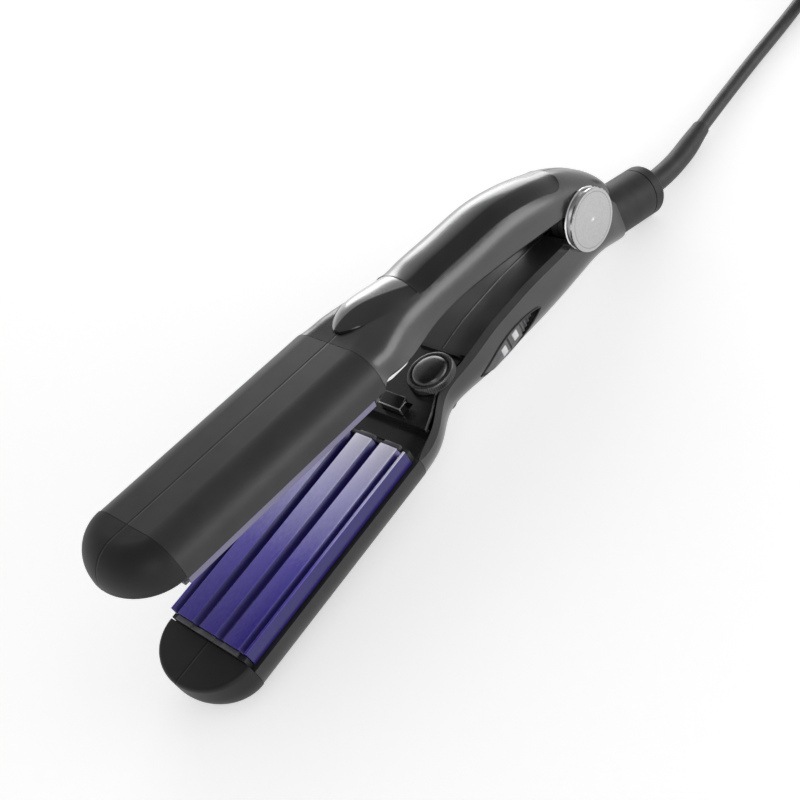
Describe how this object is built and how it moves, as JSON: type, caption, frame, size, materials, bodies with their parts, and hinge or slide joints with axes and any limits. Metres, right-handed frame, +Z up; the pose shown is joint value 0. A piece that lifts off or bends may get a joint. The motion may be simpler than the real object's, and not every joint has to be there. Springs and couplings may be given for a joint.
{
  "type": "hair crimper",
  "caption": "Hand-held hair crimper with two sprung arms, waved heating plates, a turning lock knob, a side rocker switch and a swivel lead with a two-pin plug",
  "frame": {"origin": "middle of the appliance's footprint on the surface it lies on, without its lead", "axes": "+X to the tips, +Y to the switch side, +Z up"},
  "size_m": [0.6517, 0.0655, 0.0849],
  "materials": {
    "shell_plastic": "fine satin moulded plastic",
    "gloss_black": "polished",
    "plate_coating": "metallic violet ceramic coat on aluminium",
    "satin_disc": "satin",
    "chrome_ring": "bright",
    "steel": "zinc plated",
    "ceramic": "ceramic heater, plain",
    "tab_grey": "moulded",
    "pad_white": "moulded",
    "switch_grey": "moulded",
    "lead_rubber": "flexible cover",
    "pin_brass": "nickel-plated brass",
    "board_green": "coated glass fibre",
    "carrier_plastic": "heat-resistant plastic"
  },
  "bodies": {
    "lower_arm": {"lower_handle_shell_left": "shell_plastic", "lower_handle_shell_right": "shell_plastic", "lower_screws": "steel", "lower_head_shell_left": "shell_plastic", "lower_head_shell_right": "shell_plastic", "lower_crimp_plate": "plate_coating", "lower_plate_carrier": "carrier_plastic", "lower_end_tabs": "tab_grey", "lower_heating_strip": "ceramic", "lower_heater_clamp": "steel", "lower_nose_cap": "shell_plastic", "lower_deck": "gloss_black", "hinge_block": "steel", "hinge_pin": "steel", "hinge_rings": "chrome_ring", "hinge_collars": "satin_disc", "hinge_discs": "satin_disc", "return_spring": "steel", "switch_module": "shell_plastic", "cord_sleeve": "shell_plastic", "cord_clamp": "shell_plastic", "strain_relief": "lead_rubber", "cord_lead": "lead_rubber", "cord_hank": "lead_rubber", "lead_tie": "shell_plastic", "cord_end": "lead_rubber", "plug_body": "shell_plastic", "plug_pins": "pin_brass", "control_board": "board_green", "mains_core": "lead_rubber", "lower_heater_leads": "lead_rubber"},
    "upper_arm": {"upper_handle_shell_left": "shell_plastic", "upper_handle_shell_right": "shell_plastic", "upper_screws": "steel", "upper_head_shell_left": "shell_plastic", "upper_head_shell_right": "shell_plastic", "upper_crimp_plate": "plate_coating", "upper_plate_carrier": "carrier_plastic", "upper_end_tabs": "tab_grey", "upper_heating_strip": "ceramic", "upper_heater_clamp": "steel", "upper_nose_cap": "shell_plastic", "upper_deck": "shell_plastic", "lock_keeper": "gloss_black", "hinge_yoke": "steel", "indicator_lens": "gloss_black", "indicator_led": "shell_plastic", "top_inlay": "gloss_black", "upper_heater_leads": "lead_rubber", "thermostat": "shell_plastic"},
    "knob": {"lock_knob": "gloss_black", "lock_spindle": "steel"},
    "catch": {"lock_catch": "gloss_black"},
    "rocker": {"switch_rocker": "switch_grey", "switch_pin": "steel", "switch_pads": "pad_white"},
    "swivel": {"swivel_collar": "shell_plastic"}
  },
  "joints": [
    {"name": "arm_hinge", "type": "hinge", "parent": "lower_arm", "child": "upper_arm", "pos_m": [-0.07015, 0, 0.03925], "axis": [0, 1, 0], "range_deg": [0, 9.3], "stiffness_Nm_per_rad": 0.9, "springref_deg": -20.05, "deforming": ["return_spring"]},
    {"name": "knob_turn", "type": "hinge", "parent": "lower_arm", "child": "knob", "pos_m": [0.02567, 0.0052, 0.03261], "axis": [0.1003, 0, 0.995], "range_deg": [0, 90]},
    {"name": "catch_slide", "type": "slide", "parent": "lower_arm", "child": "catch", "axis": [-0.995, 0, 0.1003], "range_m": [0, 0.0026]},
    {"name": "switch_rock", "type": "hinge", "parent": "lower_arm", "child": "rocker", "pos_m": [-0.00859, 0.0095, 0.02279], "axis": [-0.1003, 0, -0.995], "range_deg": [0, 8]},
    {"name": "swivel_turn", "type": "hinge", "parent": "lower_arm", "child": "swivel", "pos_m": [-0.11796, 0, 0.01241], "axis": [-0.9671, 0, -0.2545], "continuous": true}
  ],
  "couplings": [
    {"joint": "catch_slide", "follows": "knob_turn", "m_per_rad": 0.001655}
  ]
}
